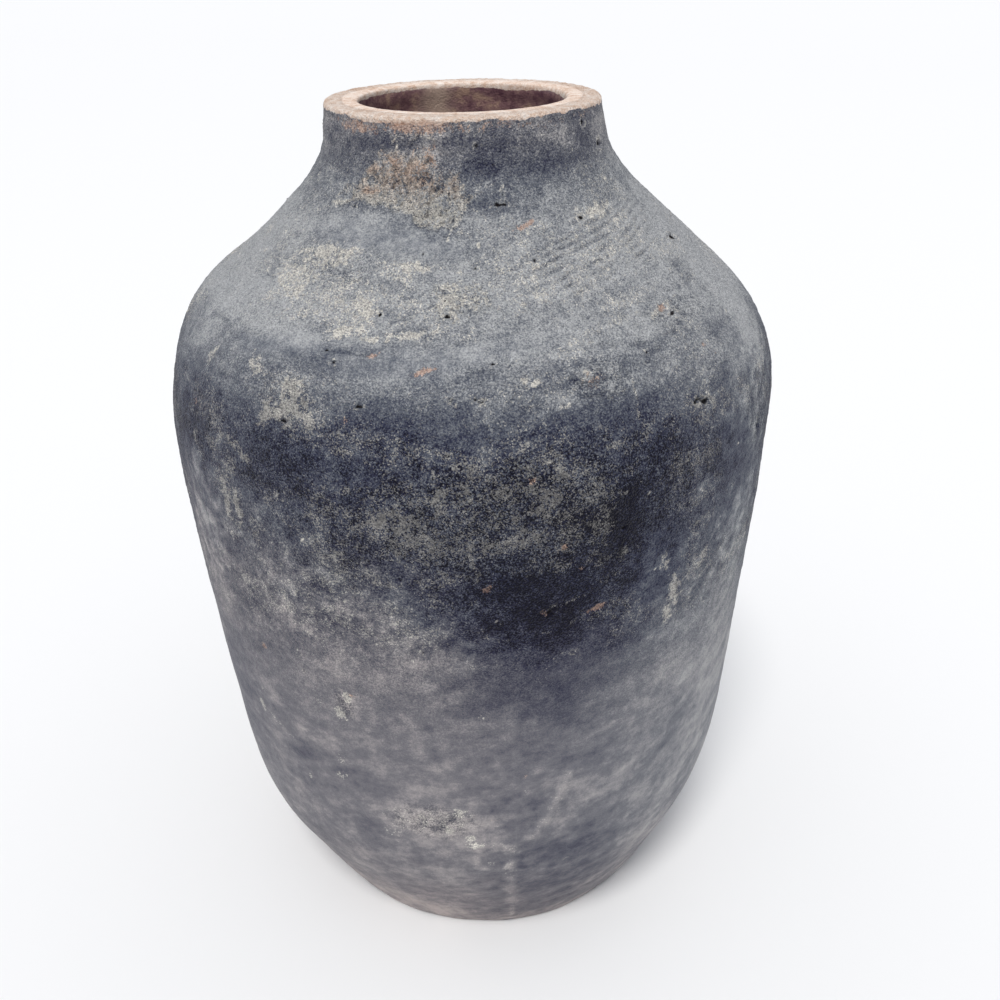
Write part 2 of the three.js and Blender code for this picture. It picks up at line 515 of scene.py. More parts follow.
def neck_crumbs(skin):
    """Crumbly clay smeared on the neck. Its lower edge stands up from the smooth slip below it. It reaches
    the lip only near its right hand end."""
    where = skin.near(-22, 379, 50)[0]
    p = skin.base[where]
    azimuth = np.degrees(skin.azimuth)[where[1]]
    torn = EDGE_NOISE(p, 9, 4, 0.65)
    over = skin.z[where] - np.interp(azimuth, *zip(*CRUMB_EDGE)) + 1.6 * torn
    reach = np.interp(azimuth, *zip(*CRUMB_REACH))
    frayed = azimuth + 5 * torn
    fade = step_between(-52, -44, frayed) * step_between(2, -8, frayed)
    fade = fade * step_between(reach, 0.45 * reach - 1, over + 7 * torn)
    cover = step_between(0.0, 1.2, over) * fade
    lumps = Field(32)(p, 3.0, 4, 0.75)
    rim = step_between(-52, -46, azimuth) * step_between(2, -4, azimuth) * hump(over, 1.0, 0.9)
    reddish = (0.22 + 0.10 * EDGE_NOISE(p, 11, 3)) * step_between(366, 384, skin.z[where])
    # The tone follows the lumps: painted light on the crumbs' tops and painted shade between them. The
    # crumbs' pale cover is partly pale clay and partly painted highlight. The pale rim along the lower edge
    # is a painted highlight, and the darker band just below that edge is a painted shadow.
    skin.mark(
        where,
        lift=cover * (0.7 + 1.7 * lumps) + 0.7 * rim,
        tone=cover * (0.24 + 0.45 * lumps) - 0.12 * fade * hump(over, -1.4, 1.2),
        dust=cover * (0.60 + 0.35 * EDGE_NOISE(p, 14, 3)) + 0.45 * rim,
        red=cover * reddish,
        rough=0.9 * cover,
    )


# --- Single marks ------------------------------------------------------------------------------------------

def shade(skin, mask, marks, ragged, soft):
    """Adds patches to a mask."""
    for azimuth, height, wide, tall, amount, *turn in marks:
        where, weight = skin.patch(azimuth, height, wide, tall, *turn, ragged=ragged, soft=soft)
        skin.mark(where, **{mask: amount * weight})


def add_pit(skin, azimuth, height, long_, short, depth, turn=0, hole_shade=0.9):
    """A hole where a bit of grit fell out: a bowl with a slightly raised rim."""
    where, dx, dy = skin.near(azimuth, height, 3 * max(long_, short))
    distance = oval(dx, dy, long_, short, turn) + 0.55 * EDGE_NOISE(skin.base[where], 2.6, 3)
    bowl, rim = step_between(1.1, 0.25, distance), hump(distance, 1.4, 0.3)
    skin.mark(where, lift=depth * (0.24 * rim - bowl), tone=0.08 * rim, dust=0.45 * rim)
    # Painted shade: the hole's core is marked to be coloured near black.
    hole = np.clip(hole_shade * (1.25 - 0.9 * distance), 0, 1)
    skin.masks["hole_shade"][where] = np.maximum(skin.masks["hole_shade"][where], hole)


def add_chip(skin, azimuth, height, wide, tall, amount, turn=0):
    """A flake off the surface: a shallow hollow that shows red clay."""
    where, weight = skin.patch(azimuth, height, wide, tall, turn, ragged=0.5, soft=0.3)
    skin.mark(where, lift=-0.35 * weight, red=amount * weight)


def add_scratch(skin, places, width, depth, amount):
    """A scratch: a thin groove, pale or dark, broken here and there."""
    where, distance = skin.stroke(places, width)
    weight = step_between(1.3, 0.4, distance + 0.5 * EDGE_NOISE(skin.base[where], 3, 2))
    skin.mark(where, lift=-depth * weight, dust=amount * weight)


def add_grit(skin, azimuth, height, size):
    """A grain of white grit that stands out of the surface."""
    where, weight = skin.patch(azimuth, height, 0.7 * size, 0.6 * size, ragged=0.6, soft=0.3)
    skin.mark(where, lift=0.45 * weight, tone=0.5 * weight, dust=2.5 * weight)


# Patches come as lists. Each patch is an azimuth, height, half width, half height and amount, and then how
# many degrees it is turned anticlockwise, which is left out where it is 0.

# Soot: dark drifts.
SOOT = (
    (12, 241, 36, 20, -0.33, 5), (8, 231, 44, 13, -0.2, 6), (27, 271, 24, 24, -0.36, 30),
    (14, 262, 26, 18, -0.2), (-24, 286, 34, 10, -0.24, -8), (-30, 278, 16, 14, -0.12),
    (-12, 266, 22, 17, -0.16), (4, 286, 20, 9, -0.22), (12, 210, 28, 20, -0.26), (0, 246, 16, 10, -0.14),
    (45, 282, 16, 22, -0.12, 20), (2, 190, 20, 12, -0.14), (-58, 290, 24, 20, -0.24),
    (22, 304, 26, 10, -0.2, 10), (-10, 308, 30, 8, -0.16, -4), (16, 178, 20, 12, -0.12),
    (30, 292, 12, 8, -0.16, 10), (50, 262, 14, 18, -0.08), (-12, 288, 9, 6, -0.1),
    (2, 272, 10, 6, -0.16, 20), (24, 258, 10, 12, -0.12), (-4, 256, 12, 4, -0.14, -10),
    (10, 278, 7, 4, -0.14), (-20, 262, 8, 10, -0.1), (16, 84, 20, 12, -0.26), (26, 58, 24, 16, -0.18, 10),
    (4, 88, 4, 7, -0.1), (12, 44, 30, 16, -0.2), (-28, 128, 22, 12, -0.07), (12, 160, 24, 16, -0.1),
    (-14, 170, 22, 12, -0.06), (12, 18, 34, 12, -0.2), (-60, 140, 22, 34, -0.22),
    (-44, 118, 20, 16, -0.1), (-52, 178, 18, 14, -0.12), (-26, 92, 16, 10, -0.1), (0, 122, 18, 8, -0.14),
    (8, 100, 14, 8, -0.1), (-38, 152, 14, 8, -0.06), (44, 184, 12, 8, -0.06), (3, 384, 13, 9, -0.22, 10),
    (18, 386, 16, 8, -0.14), (52, 393, 8, 6, -0.4), (-30, 391, 26, 3.5, -0.2), (2, 392, 26, 3, -0.16, 2),
    (-60, 380, 14, 12, -0.16), (36, 382, 20, 10, -0.14, 10), (-34, 379, 16, 10, -0.14),
    (-40, 372, 16, 6, -0.1), (54, 378, 14, 10, -0.14), (4, 372, 16, 5, -0.12), (-14, 376, 12, 6, -0.06),
    (-26, 358, 22, 5, -0.12), (-6, 355, 9, 4, -0.08), (-40, 358, 16, 5, -0.1, 10),
    (-52, 340, 9, 4, -0.16, 40), (-22, 326, 22, 5, -0.2, 8), (-44, 326, 18, 4, -0.14),
    (-8, 334, 12, 3, -0.08, 5), (-30, 333, 9, 2.4, -0.08, 20), (44, 312, 12, 8, -0.08),
    (58, 340, 8, 6, -0.1, 30), (30, 340, 16, 2.6, -0.06, 10), (40, 326, 14, 3, -0.08, 8),
    (16, 270, 12, 7, -0.1), (4, 287, 14, 5, -0.1), (10, 60, 12, 14, -0.1), (2, 242, 12, 7, -0.08),
    (32, 285, 8, 6, -0.1), (-56, 389, 16, 4, -0.14), (20, 321, 22, 5, -0.17), (-33, 298, 10, 5, -0.12),
    (-14, 300, 10, 3, -0.12), (-3, 293, 9, 3.5, -0.14), (11, 287, 7, 4, -0.18), (-38, 278, 9, 5, -0.11),
    (24, 270, 6, 12, -0.2), (12, 272, 7, 4, -0.16), (10, 276, 9, 8, -0.1), (19, 269, 9, 8, -0.1),
    (9, 240, 8, 6, -0.07), (10, 120, 16, 7, -0.07), (0, 165, 8, 6, -0.07), (2, 90, 8, 8, -0.06),
    (18, 268, 9, 8, -0.15), (8, 283, 8, 5, -0.1), (2, 270, 8, 5, -0.06), (5, 112, 14, 10, -0.09),
    (-58, 118, 8, 18, -0.06), (-10, 30, 10, 8, -0.08), (4, 62, 12, 16, -0.05), (-5, 250, 6, 3, -0.06),
    (-1, 273, 5, 3, -0.12), (12, 226, 12, 9, -0.13), (9, 213, 12, 7, -0.12), (24, 204, 10, 6, -0.12),
)

# Pale wash: soft pale drifts. The patches far to the left and right, along the jar's outline as the camera
# sees it, are painted rim light, and the bright streak high on the left shoulder is a painted sheen.
WASH_AND_PAINTED_LIGHT = (
    (-18, 212, 40, 20, 0.12, -6), (-40, 232, 26, 22, 0.08, -10), (-20, 238, 16, 8, 0.14, -14),
    (-12, 222, 20, 7, 0.14, -14), (46, 232, 16, 26, 0.14, -12), (50, 190, 22, 26, 0.12),
    (60, 232, 14, 40, 0.14), (36, 176, 18, 12, 0.1, 10), (-10, 110, 22, 14, 0.14),
    (46, 100, 26, 34, 0.08), (58, 140, 18, 40, 0.1), (-16, 88, 24, 9, 0.06), (2, 116, 12, 5, 0.14, 10),
    (24, 118, 18, 8, 0.1, 24), (-50, 120, 24, 10, 0.05, 30), (-10, 26, 40, 8, 0.06),
    (-54, 277, 5, 3, 0.26, 20), (-56, 265, 10, 6, 0.18), (-60, 245, 10, 22, 0.12),
    (-48, 258, 8, 10, 0.1, 10), (66, 322, 12, 18, 0.26, -20), (76, 348, 24, 18, 0.18),
    (-78, 350, 24, 20, 0.22), (-54, 336, 18, 6, 0.34, 28), (-64, 334, 12, 9, 0.12, 30),
    (52, 340, 20, 8, 0.06, -6), (33, 345, 20, 8, 0.05, 12), (-42, 342, 12, 4, 0.16, 24),
    (60, 300, 14, 16, 0.2), (-23, 180, 3, 3, 0.16), (-6, 128, 18, 4, 0.08), (-30, 150, 30, 6, 0.06, 10),
    (-10, 389, 16, 5, 0.16), (40, 65, 14, 16, 0.16), (34, 104, 10, 8, 0.08), (48, 150, 10, 12, 0.08),
    (-20, 16, 20, 10, 0.1), (-8, 205, 14, 5, 0.1, -8), (-26, 196, 12, 4, 0.08, -12),
    (-34, 214, 16, 4, 0.08, -16), (54, 214, 6, 22, 0.12, -18), (-36, 330, 24, 5, 0.12, 8),
    (2, 330, 16, 4, 0.1), (50, 330, 18, 7, 0.12), (-82, 330, 14, 10, 0.1), (82, 330, 14, 10, 0.12),
    (-12, 389, 10, 4, 0.1), (46, 391, 12, 4, 0.08), (50, 143, 12, 14, 0.1), (-10, 181, 8, 6, 0.12),
    (-54, 250, 12, 26, 0.09), (-54, 205, 14, 18, 0.08), (54, 285, 14, 12, 0.12), (-60, 390, 18, 6, 0.1),
    (-38, 338, 26, 12, 0.1, 10), (-6, 376, 8, 7, 0.08), (-44, 272, 12, 8, 0.07), (10, 375, 8, 4, 0.1),
    (70, 300, 10, 10, 0.1), (-62, 305, 15, 12, 0.2), (-50, 333, 12, 6, 0.1, 20), (-24, 286, 12, 5, 0.1),
    (54, 284, 14, 10, 0.1), (30, 256, 7, 6, 0.12), (-78, 336, 14, 12, 0.12), (78, 336, 14, 12, 0.12),
    (28, 60, 10, 12, 0.1), (50, 299, 22, 13, 0.15), (68, 307, 11, 11, 0.1), (-54, 268, 7, 10, 0.14),
    (-2, 260, 9, 4, 0.16), (-14, 283, 10, 5, 0.19), (0, 308, 13, 3, 0.12), (31, 243, 6, 11, 0.1),
    (-40, 241, 22, 6, 0.08), (-52, 224, 13, 8, 0.08), (-5, 230, 10, 5, 0.12),
    (35.5, 221, 3.4, 10, 0.16, 6), (33, 240, 2, 4, 0.14, 10), (64, 60, 14, 34, 0.12),
    (50, 392, 34, 5, 0.13), (34, 60, 9, 12, 0.1), (-24, 176, 2.4, 6, 0.14, 16), (-15, 105, 8, 9, 0.1),
    (-57, 236, 14, 36, 0.11), (56, 236, 12, 36, 0.12), (-32, 236, 12, 11, 0.09), (54, 277, 12, 12, 0.11),
    (70, 334, 14, 14, 0.07), (-80, 348, 14, 18, 0.12), (82, 350, 14, 18, 0.1), (-11, 383, 11, 8, 0.08),
    (0, 227, 9, 5, 0.07), (-21, 285, 8, 4, 0.09), (0, 301, 10, 4, 0.07), (34, 58, 12, 18, 0.06),
    (-18, 52, 8, 12, 0.07), (-48, 262, 10, 10, 0.06), (50, 391, 18, 5, 0.06), (72, 376, 12, 7, 0.12),
    (-42, 118, 12, 8, 0.06), (-46, 332, 14, 5, 0.08, 10), (-38, 240, 16, 14, 0.07),
    (-17, 285, 12, 5, 0.07), (0, 256, 8, 4, 0.08), (-10, 226, 9, 6, 0.08), (-30, 226, 9, 6, 0.08),
    (30, 232, 8, 10, 0.06), (64, 314, 12, 20, 0.08), (-62, 300, 12, 10, 0.07), (-35, 121, 10, 8, 0.06),
    (10, 6, 40, 8, 0.05), (60, 330, 12, 8, 0.1), (3, 297, 18, 6, 0.07), (-52, 240, 10, 14, 0.05),
    (52, 240, 8, 16, 0.06), (66, 300, 14, 12, 0.07), (28, 240, 10, 10, 0.05),
)

# Grainy cream dust.
DUST = (
    (-37, 353, 12, 5, 0.77, 8), (-44, 345, 10, 5, 0.66), (-30, 343, 40, 15, 0.15, -8),
    (-22, 340, 4, 4, 1.06, 20), (-24, 333, 7, 2.4, 0.81, 24), (-18, 332, 4, 1, 1.2, -6),
    (-13, 352, 7, 2, 0.87), (-2, 343, 8, 7, 0.66), (-33, 339, 14, 5, 0.22, 24),
    (-12, 334, 9, 1.6, 0.66, 6), (-53, 316, 2, 4, 1.2, -20), (-40, 341, 5, 3, 0.61),
    (-30, 314, 5, 4, 1.06, -40), (-31, 309, 4, 3, 0.87), (-26, 306, 6, 2.2, 1.06, -28),
    (-35, 305, 2, 4, 1.06, -20), (-40, 320, 6, 2.4, 0.66, -32), (-32, 312, 13, 9, 0.15, -20),
    (-33, 306, 5, 2, 0.77, 20), (-45, 264, 2, 8, 1.12, 3), (-42, 262, 1.6, 8, 0.87),
    (-39, 287, 8, 1.6, 0.66, -28), (-44, 290, 5, 1.4, 0.25, -20), (-54, 284, 2.4, 2, 0.77),
    (-38, 258, 6, 3, 0.15, -10), (2, 276, 46, 17, 0.21, 4), (-5, 282, 8, 5, 0.18),
    (13, 287, 10, 4, 0.18, 10), (6, 264, 14, 5, 0.2, 8), (-12, 272, 7, 5, 0.18),
    (22, 283, 12, 3, 0.18, 22), (20, 262, 4, 4, 0.12), (-2, 262, 9, 3, 0.18), (-24, 272, 6, 8, 0.15),
    (-16, 288, 9, 4, 0.12), (8, 296, 20, 6, 0.12, 6), (-30, 300, 24, 6, 0.07, -6),
    (-20, 250, 14, 4, 0.18, -16), (-14, 245, 7, 2, 0.25, -14), (-26, 240, 8, 2.4, 0.2, -18),
    (-8, 247, 5, 1.6, 0.2, -10), (30, 352, 34, 13, 0.15, 14), (44, 364, 6, 2.6, 0.77, 14),
    (50, 360, 10, 1.4, 0.28, 10), (41, 352, 12, 1.4, 0.22, 14), (36, 338, 14, 3, 0.2, 8),
    (10, 346, 16, 10, 0.1), (22, 331, 22, 2.4, 0.15, 10), (42, 333, 9, 1.4, 0.61, 12),
    (60, 346, 12, 7, 0.15), (12, 317, 22, 5, 0.07, 4), (55, 370, 10, 7, 0.1), (33, 240, 2, 4, 1.06, 10),
    (36, 222, 3.2, 8, 0.87, 6), (35, 210, 2, 5, 0.81, 10), (43, 232, 1.8, 4, 0.77, -30),
    (47, 244, 1.4, 4, 0.25, -10), (26, 252, 8, 1.4, 0.15, 24), (-24, 180, 2, 2.6, 1.06),
    (-26, 169, 2.2, 3.2, 1.02, 20), (-31, 172, 2.4, 4, 0.18, 30), (-49, 147, 2, 3, 1.06, 30),
    (-44, 143, 8, 1.6, 0.2, -26), (-28, 139, 1.8, 2.4, 0.28), (-29, 128, 2.4, 2.6, 0.66),
    (-38, 116, 1.6, 1.6, 0.61), (-8, 112, 11, 6, 0.2), (-5, 117, 2.4, 2.4, 0.77), (-7, 105, 2.4, 2, 0.77),
    (-16, 112, 8, 6, 0.15), (-13, 110, 2.6, 3.4, 0.2), (-3, 100, 1.6, 1.6, 1.17), (-2, 96, 3, 1.8, 1.06),
    (-19, 100, 4, 5, 0.15, 20), (14, 113, 2, 1, 0.2), (-9, 60, 6, 1.4, 0.12), (8, 131, 3, 1, 0.12),
    (12, 208, 16, 12, 0.07), (-12, 397, 16, 3.4, 0.25), (-46, 396, 11, 3, 0.12), (22, 393, 12, 3, 0.1),
)

# Clean soot, where no dust has settled.
CLEAN = (
    (6, 243, 30, 5, -0.45, 4), (10, 233, 30, 7, -0.3, 5), (25, 268, 7, 14, -0.5, 10),
    (12, 216, 22, 10, -0.35), (-22, 292, 20, 3, -0.3, -8), (-34, 292, 12, 10, -0.3),
    (12, 286, 6, 3, -0.3), (30, 285, 6, 8, -0.3), (-38, 276, 8, 7, -0.25), (30, 252, 7, 14, -0.4, 20),
    (4, 255, 7, 3, -0.25), (9, 272, 4, 3, -0.3),
)

# Smooth places, where the slip was rubbed and has no grain.
SMOOTH = (
    (-28, 360, 26, 7, -0.45), (-62, 322, 22, 22, -0.12), (-36, 327, 24, 5, -0.45, 10),
    (-12, 326, 26, 6, -0.35, 4), (6, 330, 22, 4, -0.25, 6), (-52, 342, 12, 4, -0.2, 30),
    (60, 312, 18, 16, -0.15), (54, 262, 20, 30, -0.4), (32, 238, 14, 18, -0.3), (-56, 250, 22, 34, -0.4),
    (-8, 357, 12, 4, -0.3),
)

# Red clay showing.
CHIPS = (
    (-10, 386, 6, 3.2, 0.16, -30), (-27, 385, 5, 1.8, 0.12, -30), (-15, 379, 4, 2, 0.06),
    (-34, 373, 4, 1.4, 0.16), (-14, 390, 5, 1.2, 0.25, 10), (17, 363, 4.5, 1.2, 0.8, 24),
    (-48, 395.5, 8, 2.6, 0.6), (-38, 395, 6, 2.4, 0.5), (-14, 396.5, 16, 2, 0.6), (14, 397, 10, 1.6, 0.4),
    (-26, 396.5, 6, 1.6, 0.5), (34, 396, 10, 2, 0.3), (-70, 396, 10, 1.8, 0.3), (58, 397, 8, 1.4, 0.3),
    (-17, 328, 2, 1.2, 0.75, 20), (-8, 324, 2.8, 1.4, 0.85, 24), (-6, 325, 1.4, 0.9, 0.6),
    (-20, 308, 1.2, 1.2, 0.5), (42, 333, 1.6, 1.4, 0.7), (47, 319, 1, 1, 0.8), (49, 315, 0.8, 0.8, 0.5),
    (21, 318, 4, 2.6, 0.3, 10), (-55, 297, 1.2, 1.4, 0.8), (2, 243, 2.2, 1.8, 0.7),
    (11, 229, 1.4, 1.6, 0.55), (20, 227, 4.2, 1.2, 0.85, 12), (17, 248, 1.2, 1.4, 0.5),
    (9, 288, 1.4, 1, 0.5), (14, 259, 1, 1, 0.6), (-43, 190, 1.6, 2, 0.75), (8, 140, 1.2, 1.6, 0.5, -20),
    (-23, 182, 1.6, 2, 0.35, 10), (2, 112, 5, 1.4, 0.25, 8), (20, 22, 12, 2, 0.22),
    (-20, 20, 14, 2, 0.18), (30, 28, 8, 2, 0.18), (-42, 10, 10, 2, 0.25), (14, 10, 20, 2, 0.2),
)

# Pits. The amount is their depth.
PITS = (
    (11, 370, 3.4, 1, 1.1, -6), (12, 373, 0.9, 2, 0.7), (64, 384, 2.3, 2, 1.7),
    (67, 348, 3, 1.7, 1.3, -20), (17, 353, 1.3, 1, 1), (42, 301, 4, 1.7, 1.8, -18),
    (40, 302, 1.8, 1.4, 1.4, 40), (59, 277, 1.9, 4, 1.6), (-4, 339, 1.3, 1, 1.2),
    (-18, 339, 1.3, 0.8, 0.8, 50), (-24, 325, 1, 0.9, 1.1), (-18, 313, 1.6, 0.8, 1.1),
    (-31, 304, 2.2, 1.2, 1.2, -20), (-3, 316, 2, 0.8, 1.1, -20), (1, 316, 1.6, 0.9, 1, -30),
    (2, 315.5, 1, 0.8, 1), (-26, 328, 1, 0.8, 0.7), (-5, 343, 1.2, 0.8, 0.7, 20), (21, 318, 1.6, 0.9, 1),
    (15, 312, 1.2, 0.8, 0.9), (-11, 356, 0.9, 0.8, 0.8), (2, 352, 1, 0.8, 0.8), (-33, 371, 1.2, 1, 0.9),
    (44, 331, 2.4, 0.9, 0.8, 10), (24, 262, 1.4, 1, 0.8), (12, 229, 1.8, 1.3, 1.1, 20),
    (5, 390, 1.1, 0.9, 0.8), (53, 394, 1.6, 1.4, 0.9), (33, 323, 1, 0.8, 0.7), (-38, 368, 0.9, 0.8, 0.8),
    (4, 326, 0.9, 0.7, 0.6), (36, 363, 1.6, 0.9, 0.9),
)

# Scratches: the places they run through, half width, depth, and how pale.
SCRATCHES = (
    (((28.1, 316), (27.9, 310), (27.5, 303)), 0.6, 0.25, 0.42),
    (((12, 232), (14, 231.5), (16, 234), (18, 234.5)), 0.6, 0.2, 0.42),
    (((9, 221), (10, 219), (12, 219)), 0.6, 0.2, 0.30),
    (((-5, 285), (-6, 280)), 0.6, 0.2, 0.45),
    (((-7, 268), (-6, 264)), 0.7, 0.2, 0.42),
    (((23, 312), (26, 313)), 0.7, 0.2, 0.40),
    (((15, 314), (19, 319), (22, 321)), 0.6, 0.25, 0.20),
    (((-27, 337), (-24, 333), (-19, 340)), 0.6, 0.25, 0.16),
    (((-20, 313), (-13, 311), (-6, 312)), 0.5, 0.35, -0.20),
    (((-5, 337), (3, 337.5), (8, 339)), 0.5, 0.35, -0.20),
    (((-7, 346), (-2, 345), (3, 346.5)), 0.6, 0.7, -0.4),
    (((-4, 341), (0, 340), (5, 341)), 0.5, 0.6, -0.4),
    (((17, 320), (20, 317), (24, 318)), 0.6, 0.7, -0.4),
    (((19, 314), (23, 312.5), (25, 314)), 0.5, 0.6, -0.4),
    (((37, 333), (43, 330), (50, 331)), 0.6, 0.7, -0.4),
    (((40, 336), (46, 337), (52, 335)), 0.5, 0.5, -0.3),
    (((20, 250), (30, 252)), 0.6, 0.2, 0.20),
    (((-2, 362), (1, 361)), 0.9, -0.2, 0.4),
)

# Grains of white grit that stand out of the surface: azimuth, height and half size.
WHITE_GRIT = (
    (3, 358, 1), (-5, 360, 0.9), (17, 351, 1.3), (16, 351, 0.9), (11, 320, 1.7), (9, 321, 1.2),
    (35, 347, 0.9), (44, 364, 1.1), (-32, 306, 1), (31, 358, 0.8), (-12, 353, 1.2), (8, 316, 0.8),
    (-28, 258, 0.7), (24, 277, 1), (57, 372, 1.1), (20, 321, 0.8), (-15, 332, 1), (0, 282, 0.7),
)

# Coarse, lumpy places: in the middle of the shoulder, near the foot and elsewhere.
LUMPY = (
    (-2, 343, 9, 7, 0.45), (-10, 110, 17, 9, 0.60), (60, 285, 12, 14, 0.15), (22, 318, 10, 6, 0.40),
    (6, 272, 40, 20, 0.16), (-22, 248, 18, 7, 0.22), (-32, 311, 9, 7, 0.25), (-36, 350, 16, 7, 0.20),
    (46, 331, 14, 5, 0.30), (-25, 176, 4, 7, 0.30),
)

# Where the wall was pushed out, or pressed in, by hand. The half widths are in degrees, the amounts in mm.
PUSHES = (
    (-78, 62, 34, 24, 1.3), (-95, 346, 45, 14, -1.7), (95, 326, 42, 16, -1.5), (-95, 290, 40, 20, -1.4),
    (80, 292, 40, 20, 0.7), (62, 8, 40, 16, 0.8), (0, 2, 45, 14, 1.1),
)

# A seam in the clay near the foot, which comes up to the right. A strip runs down from it to the foot, and
# a short loop hangs from it.
SEAM = ((-4, 97), (0, 95), (5, 95), (9, 99), (12, 108), (14, 120), (17, 138))
STRIP = ((4.6, 92), (5.4, 60), (6.4, 9))
LOOP = ((-2.5, 94), (-1.8, 78), (3.3, 75), (4.6, 80))

# The raised lines that these are: places, half width and how pale.
RIDGES = ((SEAM, 4.0, 0.09), (STRIP, 3.2, 0.20), (LOOP, 1.8, 0.10), (SEAM, 1.6, 0.05))

# Kinds of patch for the sides and the back: the mask, how many, the heights they lie between, the ranges of
# their half width and half height, the amount, and how ragged and soft the edge is.
SCATTERED = (
    ("tone", 9, (215, 290), (20, 45), (10, 22), -0.15, (0.35, 0.85)),
    ("tone", 8, (350, 392), (12, 26), (4, 9), -0.14, (0.35, 0.85)),
    ("tone", 12, (20, 150), (16, 30), (8, 16), -0.09, (0.35, 0.85)),
    ("tone", 22, (30, 250), (10, 30), (8, 22), 0.08, (0.40, 0.90)),
    ("dust", 10, (318, 366), (10, 34), (4, 12), 0.16, (0.55, 0.55)),
    ("dust", 16, (300, 360), (3, 9), (1.2, 5), 0.34, (0.55, 0.55)),
    ("dust", 14, (235, 300), (6, 24), (4, 12), 0.15, (0.55, 0.55)),
    ("dust", 20, (60, 260), (1.6, 3.4), (2, 7), 0.34, (0.55, 0.55)),
    ("dust", 7, (85, 125), (6, 14), (4, 9), 0.14, (0.55, 0.55)),
)


def placed_marks(skin):
    """The marks on the front, each in its own place."""
    shade(skin, "tone", SOOT, 0.35, 0.85)
    # Pale drifts, with painted rim light at the sides and a painted sheen on the left shoulder.
    shade(skin, "tone", WASH_AND_PAINTED_LIGHT, 0.40, 0.90)
    shade(skin, "dust", DUST, 0.75, 0.35)
    shade(skin, "dust", CLEAN, 0.55, 0.5)
    shade(skin, "dust", SMOOTH, 0.45, 0.6)
    shade(skin, "rough", SMOOTH, 0.45, 0.6)
    least_rough = 0.18
    skin.masks["rough"] = np.maximum(skin.masks["rough"], least_rough)
    for azimuth, height, wide, tall, amount in LUMPY:
        where, weight = skin.patch(azimuth, height, wide, tall)
        lumps = weight * Field(51)(skin.base[where], 4.5, 4, 0.6)
        # The tone follows the lumps: painted light on their tops and painted shade between them.
        skin.mark(where, lift=amount * lumps, tone=0.35 * min(1, 2 * amount) * lumps, rough=0.8 * weight)
    for places, width, pale in RIDGES:
        where, distance = skin.stroke(places, width)
        weight = step_between(1.6, 0.1, distance + 0.8 * EDGE_NOISE(skin.base[where], 9, 4, 0.65))
        skin.mark(where, lift=0.35 * weight, tone=pale * weight, dust=0.5 * pale * weight)
    for add, marks in ((add_scratch, SCRATCHES), (add_chip, CHIPS), (add_pit, PITS), (add_grit, WHITE_GRIT)):
        for mark in marks:
            add(skin, *mark)


def scattered_marks(skin):
    """The same kinds of mark over the sides and the back, which nothing else describes, and a few small ones
    all over."""
    random = np.random.default_rng(77)

    def place(lowest, highest, front=False):
        azimuth = random.uniform(-180, 180) if front else random.uniform(76, 284)
        return (azimuth + 180) % 360 - 180, random.uniform(lowest, highest)

    for mask, count, heights, wide, tall, amount, edge in SCATTERED:
        marks = [
            (*place(*heights), random.uniform(*wide), random.uniform(*tall), amount, random.normal(0, 18))
            for _ in range(count)
        ]
        shade(skin, mask, marks, *edge)
    for _ in range(26):
        add_pit(skin, *place(225, 394), random.uniform(1, 2.8), random.uniform(0.9, 1.6),
                turn=random.normal(0, 25), depth=random.uniform(0.7, 1.6))
    for _ in range(60):
        size = random.uniform(0.6, 1.0)
        add_pit(skin, *place(60, 394, front=True), size, 0.8 * size,
                turn=random.normal(0, 25), depth=random.uniform(0.4, 0.8), hole_shade=0.5)
    for _ in range(22):
        add_chip(skin, *place(120, 394), random.uniform(0.9, 3.4), random.uniform(0.8, 1.5),
                 turn=random.normal(0, 20), amount=random.uniform(0.5, 0.85))
    for _ in range(40):
        add_grit(skin, *place(200, 390, front=True), random.uniform(0.5, 1.0))
    for _ in range(14):
        azimuth, height = place(200, 372)
        turn, length = math.radians(random.uniform(-30, 30)), random.uniform(4, 14)
        end = (azimuth + 0.5 * length * math.cos(turn), height + length * math.sin(turn))
        places = ((azimuth, height), end)
        add_scratch(skin, places, random.uniform(0.5, 0.8), 0.25, random.choice((0.4, -0.2)))


def worn_foot(skin):
    """The foot's edge is rubbed round, and the wall has broad, gentle bulges and hollows."""
    low = step_between(16, 1, skin.z) * step_between(60, 90, skin.r)
    skin.mark(lift=-low * (0.3 + 0.35 * Field(61)(skin.base, 26, 3)))
    for azimuth, height, wide, tall, amount in PUSHES:
        turned = (np.degrees(skin.azimuth)[None, :] - azimuth + 180) % 360 - 180
        skin.mark(lift=amount * hump(turned, 0, wide) * hump(skin.z, height, tall) * skin.outside)


def bare_lip(skin):
    """The cut top of the lip has lost its smoke: bare clay, from just over the outer edge to just inside."""
    around = np.degrees(skin.azimuth)[None, :]
    outer_edge = skin.path.outside_at(JAR_HEIGHT - 1.4) - 1.1 * hump(around, -16, 18) - 0.3
    inner_edge = skin.path.inside_at(JAR_HEIGHT - 1.4)
    fray = 1.2 * Field(21)(skin.base, 7, 4, 0.65)
    wear = 0.8 * Field(23)(skin.base, 30, 2)
    on_top = step_between(outer_edge - 0.8, outer_edge + 0.6, skin.u + 0.7 * fray + wear)
    on_top *= step_between(inner_edge + 2.2, inner_edge + 0.2, skin.u - 0.35 * fray - wear)
    near_edge = sum(step_between(4, 0, np.abs(skin.u - edge)) for edge in (outer_edge, inner_edge))
    nicks = np.minimum(Field(24)(skin.base, 9, 3) + 0.15, 0)
    skin.mark(lift=0.07 * on_top * Field(22)(skin.base, 2.6, 3) + 0.22 * near_edge * nicks, bare=on_top)


